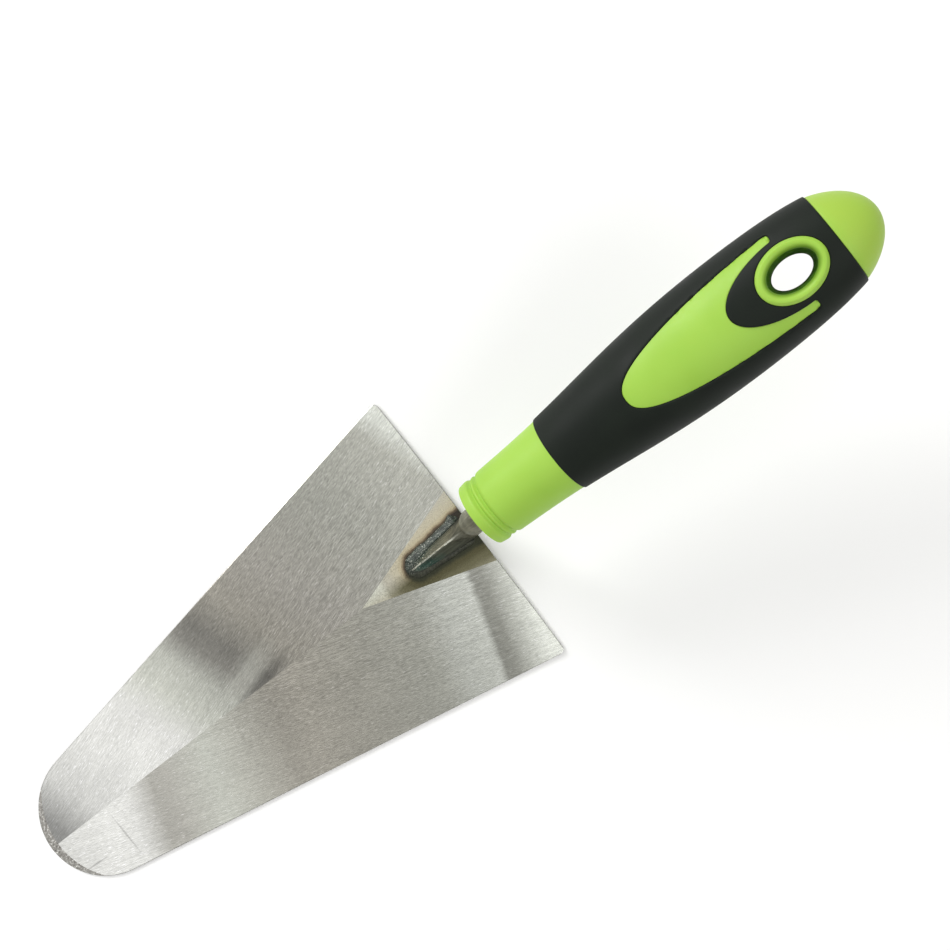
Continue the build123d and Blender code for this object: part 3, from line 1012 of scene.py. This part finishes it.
def ground_steel(name, lay, bands, waver, reflections_and_nicks):
    """Belt-ground steel: fine scratches along one direction, with painted glints, painted reflections as
    bands and patches, and nicks.
    """
    nodes = Nodes(name, metallic=1.0, anisotropic=0.8)
    fine = nodes.noise((0.62, 6.0, 1), 2.0, 0.6, -lay)
    long_lines = nodes.noise((0.06, 2.4, 1), 2.0, 0.6, -lay, (7, 3, 0))
    cloud = nodes.noise(0.05, 3.0, 0.5, 0.0, (2, 5, 0))
    painted_glint = nodes.noise((0.5, 6.5, 1), 1.0, 0.5, -lay, (5, 1, 0))
    comb = nodes.maths("SUBTRACT", nodes.noise((0.04, 0.8, 1), 4.0, 0.65, -lay, (8, 8, 0)), 0.5)
    marks = nodes.shade(fine, 0.74, 0.34, 0.62)
    marks = nodes.multiply(marks, nodes.shade(long_lines, 0.88, 0.36, 0.64))
    marks = nodes.multiply(marks, nodes.shade(cloud, 0.95, 0.36, 0.64))
    base = nodes.multiply(GROUND_TONE, marks)
    # Painted highlights: short glints lighter than the steel.
    base = nodes.mix(nodes.spread(painted_glint, 0.0, 1.0, 0.64, 0.76), base, PAINTED_GLINT_TONE)
    # Painted reflections: bands of lighter and darker tone across the lay.
    base = nodes.multiply(base, nodes.reflection_banding(lay, nodes.maths("MULTIPLY", comb, waver), bands))
    ragged = nodes.maths("MULTIPLY", comb, 1.1)
    # Painted reflections lighten or darken patches on the left, and two nicks are darkened on the right.
    for place, size, turn, soft, depth in reflections_and_nicks:
        share = nodes.maths("MULTIPLY", nodes.patch(place, size, turn, soft, ragged), abs(depth))
        base = nodes.mix(share, base, REFLECTION_AND_NICK_TONE if depth > 0 else GROUND_TONE)
    tangent = nodes.add("CombineXYZ", {0: -sin(lay), 1: cos(lay)}).outputs[0]
    nodes.put(nodes.shader, {"Tangent": tangent})
    nodes.bump(fine, 0.2, 0.02)
    return nodes.surface(base, nodes.spread(fine, 0.18, 0.28, 0.3, 0.7))


def foot_distance(nodes, x, y):
    """Distance in millimetres outside the weld round the foot, in plan."""
    toe_centre = FOOT_TOE_X + FOOT_TOE_HALF_WIDTH
    past_toe = nodes.maths("MAXIMUM", nodes.maths("SUBTRACT", toe_centre, x))
    # The foot widens to the heel, so the sideways distance counts from a line that leans outward.
    behind_toe = nodes.maths("MAXIMUM", nodes.maths("SUBTRACT", x, toe_centre))
    widening = nodes.maths("MULTIPLY", behind_toe, FOOT_LEAN)
    sideways = nodes.maths("MAXIMUM", nodes.maths("SUBTRACT", nodes.maths("ABSOLUTE", y), widening))
    square = nodes.maths("ADD", *(nodes.maths("MULTIPLY", part, part) for part in (past_toe, sideways)))
    return nodes.maths("SUBTRACT", nodes.maths("POWER", square, 0.5), FOOT_TOE_HALF_WIDTH + WELD_WIDTH)


def plateau_steel():
    """Bare sheet left between the ground faces, with heat tints round the weld, and a painted reflection of
    the neck and handle that makes the right side darker and olive.
    """
    nodes = Nodes("sheet_steel", metallic=1.0)
    grain = nodes.noise((1.8, 2.4, 2.0), 3.0, 0.6)
    cloud = nodes.maths("SUBTRACT", nodes.noise(0.22, 3.0, 0.5), 0.5)
    x, y, _ = nodes.from_heel()
    away = nodes.maths("ADD", foot_distance(nodes, x, y), nodes.maths("MULTIPLY", cloud, 1.6))
    left = [(0.0, 70, 66, 60), (0.06, 110, 98, 82), (0.11, 168, 154, 128), (0.17, 204, 194, 166),
            (0.3, 208, 201, 178), (0.62, 204, 200, 184), (1.0, 224, 225, 211)]
    right = [(0.0, 64, 66, 54), (0.16, 94, 91, 68), (0.4, 116, 113, 89), (0.75, 148, 145, 123),
             (1.0, 198, 194, 174)]
    # Painted reflection: the right side's colours are darker and olive, over the heat tint round the weld.
    tint = nodes.two_sided(nodes.spread(away, 0, 1, 0.0, 10.0), y, -2.5, 1.5, left, right)
    nodes.bump(grain, 0.2, 0.02)
    return nodes.surface(nodes.multiply(tint, nodes.shade(grain, 0.84, 0.3, 0.7)),
                         nodes.spread(grain, 0.24, 0.38, 0.3, 0.7))


def forged_steel():
    """Smooth forged rod, oiled and dark, with drawn lines and a heat tint by the toe; its two sides are
    coloured apart as painted light and shade, and a painted highlight with specks runs along the ridge.
    """
    nodes = Nodes("forged_steel", metallic=0.6)
    drawn = nodes.noise((0.15, 2.2, 0.5), 3.0, 0.55)
    blotch = nodes.noise(0.3, 3.0, 0.5)
    speck = nodes.noise(2.2, 2.0, 0.5, 0.0, (6, 2, 1))
    x, y, z = nodes.from_heel()
    # Distance back from the toe and up, which runs on along the rod, with a ragged edge.
    reach = nodes.maths("ADD", nodes.maths("SUBTRACT", x, FOOT_TOE_X), z)
    ragged = nodes.maths("MULTIPLY", nodes.maths("SUBTRACT", blotch, 0.5), 9.0)
    share = nodes.spread(nodes.maths("ADD", reach, ragged), 0, 1, 2.0, 40.0)
    # Painted light and shade: the left facet is coloured darker and the right lighter, with a teal cast near
    # the toe.
    left = [(0.0, 70, 74, 68), (0.14, 44, 58, 51), (0.36, 56, 63, 54), (0.6, 96, 96, 82),
            (1.0, 132, 131, 113)]
    right = [(0.0, 110, 116, 104), (0.16, 78, 108, 98), (0.4, 118, 122, 108), (0.7, 112, 112, 98),
             (1.0, 132, 130, 112)]
    base = nodes.two_sided(share, y, -0.5, 0.3, left, right)
    base = nodes.multiply(base, nodes.shade(drawn, 0.7, 0.38, 0.62))
    # Painted highlights: a line along the ridge, broken up by specks, and specks near the toe.
    ridge = nodes.spread(nodes.maths("ABSOLUTE", y), 1.0, 0.0, 0.12, 0.36)
    on_foot = nodes.spread(x, 1.0, 0.0, -8.0, -3.0)
    ridge_highlight = nodes.maths("MULTIPLY", nodes.maths("MULTIPLY", ridge, on_foot),
                       nodes.spread(speck, 0.3, 0.95, 0.4, 0.58))
    painted_toe_specks = nodes.maths("MULTIPLY", nodes.spread(speck, 0.0, 0.7, 0.6, 0.68),
                         nodes.spread(x, 1.0, 0.0, -19.0, -12.0))
    base = nodes.mix(nodes.maths("MAXIMUM", ridge_highlight, painted_toe_specks), base, linear(214, 214, 200))
    nodes.bump(drawn, 0.4, 0.05)
    nodes.bump(blotch, 0.25, 0.25)
    return nodes.surface(base, nodes.spread(drawn, 0.3, 0.46, 0.3, 0.7))


def weld_metal():
    """Dark green-grey weld skin with fine flow lines, painted glints on its left, and painted shade making
    its right darker and olive.
    """
    nodes = Nodes("weld_metal", metallic=0.25)
    flow = nodes.noise((0.35, 2.6, 2.6), 4.0, 0.65)
    lumps = nodes.noise(0.8, 3.0, 0.6, 0.0, (2, 7, 5))
    weld_glint_noise = nodes.noise((2.6, 3.4, 3.0), 2.0, 0.5, 0.0, (4, 4, 4))
    y = nodes.from_heel()[1]
    # Painted shade: the right side's colours are darker and olive.
    base = nodes.two_sided(flow, y, -2.0, 1.0, [(0.32, 30, 36, 32), (0.52, 54, 63, 55), (0.72, 104, 108, 94)],
                           [(0.32, 38, 42, 31), (0.6, 58, 60, 45), (0.76, 82, 80, 60)])
    base = nodes.multiply(base, nodes.shade(lumps, 0.6, 0.36, 0.64))
    # Painted glints: light specks, mostly on the left.
    painted_weld_glints = nodes.maths("MULTIPLY", nodes.spread(weld_glint_noise, 0.0, 0.7, 0.62, 0.7),
                         nodes.spread(y, 0.15, 1.0, -1.5, 1.0))
    base = nodes.mix(painted_weld_glints, base, linear(216, 218, 206))
    nodes.bump(lumps, 0.5, 0.3)
    nodes.bump(flow, 0.5, 0.12)
    return nodes.surface(base, nodes.spread(flow, 0.55, 0.38, 0.3, 0.7))


def green_plastic():
    """Satin moulded plastic with a faint orange peel, yellower at the butt, and darker by the hole with
    painted shade.
    """
    nodes = Nodes("green_plastic", specular_ior_level=0.32, subsurface_weight=0.06, subsurface_scale=0.002)
    peel = nodes.noise(0.9, 3.0, 0.5)
    base = nodes.ramp(nodes.noise(0.05, 2.0, 0.5), display((0.3, 146, 189, 62), (0.7, 154, 196, 73)))
    butt_x = (MOUTH + HANDLE_AXIS * RUBBER_END).x - HEEL_X
    base = nodes.mix(nodes.spread(nodes.from_heel()[0], 0.0, 1.0, butt_x - 4, butt_x), base, BUTT_GREEN)
    hole = (EYELET_LENGTH - 2 * EYELET_WALL, EYELET_WIDTH - 2 * EYELET_WALL)
    rim = nodes.ellipse(MOUTH + HANDLE_AXIS * EYELET_FROM_MOUTH, hole,
                        (0, atan2(HANDLE_UP.x, HANDLE_UP.z), 0))
    # Painted shade: darker green at the hole's rim and down into it.
    base = nodes.mix(nodes.spread(rim, 0.8, 0.0, 0.97, 1.2), base, HOLE_SHADE_GREEN)
    nodes.bump(peel, 0.12, 0.05)
    return nodes.surface(base, nodes.spread(peel, 0.42, 0.52, 0.3, 0.7))


def black_rubber():
    """Matt thermoplastic rubber with a fine spark-eroded grain and a little handling polish."""
    nodes = Nodes("black_rubber", specular_ior_level=0.2)
    grain = nodes.noise(3.2, 3.0, 0.6)
    wear = nodes.noise(0.07, 3.0, 0.5)
    base = nodes.ramp(wear, display((0.35, 12, 20, 13), (0.68, 19, 27, 19)))
    nodes.bump(grain, 0.3, 0.05)
    return nodes.surface(nodes.multiply(base, nodes.shade(grain, 0.82, 0.35, 0.65)),
                         nodes.spread(wear, 0.5, 0.66, 0.3, 0.7))


def speckled(name, noise, stops, roughness, bump, **values):
    """A material whose colour, roughness and bumps all follow one noise."""
    nodes = Nodes(name, **values)
    speckle = nodes.noise(*noise)
    nodes.bump(speckle, *bump)
    rough = nodes.spread(speckle, *roughness) if isinstance(roughness, tuple) else roughness
    return nodes.surface(nodes.ramp(speckle, display(*stops)), rough)


def nose_steel():
    """The nose's narrow bevel: dull, pitted and darker than the ground faces."""
    stops = [(0.3, 104, 101, 97), (0.5, 158, 155, 150), (0.66, 236, 235, 230)]
    return speckled("nose_steel", (1.4, 4.0, 0.7), stops, (0.42, 0.2), (0.4, 0.06), metallic=1.0)


def edge_steel():
    """The sheared edge of the sheet."""
    stops = [(0.3, 120, 118, 114), (0.7, 190, 188, 182)]
    return speckled("edge_steel", ((0.5, 0.5, 6.0), 3.0, 0.6), stops, (0.3, 0.5), (0.3, 0.03), metallic=1.0)


def eyelet_wall():
    """The green plastic down the hanging hole, dull and darker with painted shade."""
    stops = [(0.3, 56, 98, 10), (0.7, 74, 122, 20)]
    return speckled("green_plastic_wall_painted_shade", ((0.5, 0.5, 0.12), 3.0, 0.5), stops, 0.8, (0.15, 0.05),
                    specular_ior_level=0.02)


# ---- Stage, light and camera

def build_stage():
    """A pale floor, set a hair below the sole."""
    mesh = bpy.data.meshes.new("floor")
    size = FLOOR_HALF_SIZE_M
    corners = [(-size, -size, 0), (size, -size, 0), (size, size, 0), (-size, size, 0)]
    mesh.from_pydata(corners, [], [(0, 1, 2, 3)])
    floor = add_object("floor", mesh)
    floor.location.z = -FLOOR_GAP_M
    material = bpy.data.materials.new("floor_paper")
    material.use_nodes = True
    shader = material.node_tree.nodes["Principled BSDF"]
    shader.inputs["Base Color"].default_value = (*grey(0.95), 1)
    shader.inputs["Roughness"].default_value = 0.9
    mesh.materials.append(material)


def area_light(name, place_m, aim_m, size_m, power, color=(1, 1, 1)):
    data = bpy.data.lights.new(name, "AREA")
    data.shape = "RECTANGLE"
    data.size, data.size_y = size_m
    data.energy = power
    data.color = color
    light = add_object(name, data)
    light.location = place_m
    light.rotation_euler = (Vector(aim_m) - Vector(place_m)).to_track_quat("-Z", "Y").to_euler()


def build_lights():
    """Soft studio light: a high key from the left, a fill from the right and boxes overhead."""
    world = bpy.data.worlds.new("studio")
    world.use_nodes = True
    background = world.node_tree.nodes["Background"]
    background.inputs["Color"].default_value = (1.0, 0.99, 0.965, 1)
    background.inputs["Strength"].default_value = 0.42
    bpy.context.scene.world = world
    area_light("key", (-0.2, 1.35, 0.85), (0, 0, 0), (0.8, 0.7), 17.0)
    area_light("fill", (0.35, -0.75, 1.05), (0.05, 0, 0.05), (0.9, 0.7), 4.5)
    area_light("roof_box", (0.0, 0.0, 1.1), (0, 0, 0), (2.2, 2.2), 2.0, (1.0, 0.99, 0.96))
    nose_x, top_x = HEEL_X * MM - 0.54, HEEL_X * MM + 0.145
    area_light("nose_box", (nose_x, 0.3, 0.75), (nose_x, 0.3, 0), (0.44, 1.2), 1.75, (0.97, 0.99, 1.0))
    area_light("top_box", (top_x, 0.2, 0.75), (top_x, 0.2, 0), (0.45, 1.0), 0.75)


def build_camera():
    """Straight above the heel, a hand's length over the tool, as it lies on its sole."""
    data = bpy.data.cameras.new("camera")
    data.sensor_width = 36.0
    data.lens = CAMERA_LENS
    camera = add_object("camera", data)
    camera.location = (HEEL_X * MM + CAMERA_PAST_HEEL_M, CAMERA_Y_M, CAMERA_HEIGHT_M)
    # The tool lies aslant in the picture, and the camera leans a degree or two.
    upright = Matrix((Vector(PICTURE_RIGHT).normalized(), Vector(PICTURE_UP).normalized(), (0, 0, 1)))
    tilt = Matrix.Identity(3)
    for axis, angle in CAMERA_LEAN:
        tilt = tilt @ Matrix.Rotation(angle, 3, axis)
    camera.rotation_euler = (upright.transposed() @ tilt.transposed()).to_euler()
    bpy.context.scene.camera = camera


def main():
    build_camera()
    build_lights()
    build_stage()
    build_blade([
        ground_steel("ground_steel_left", LEFT_LAY, LEFT_REFLECTION_BANDS, LEFT_WAVER, LEFT_REFLECTION_PATCHES),
        ground_steel("ground_steel_right", RIGHT_LAY, RIGHT_REFLECTION_BANDS, RIGHT_WAVER, RIGHT_MARKS),
        plateau_steel(), nose_steel(), edge_steel(),
    ])
    build_shank(forged_steel())
    build_weld_bead(weld_metal())
    sheet = Sheet()
    build_core(sheet, green_plastic(), eyelet_wall())
    build_grip(sheet, black_rubber())
    bpy.context.scene.view_settings.view_transform = "Standard"


main()
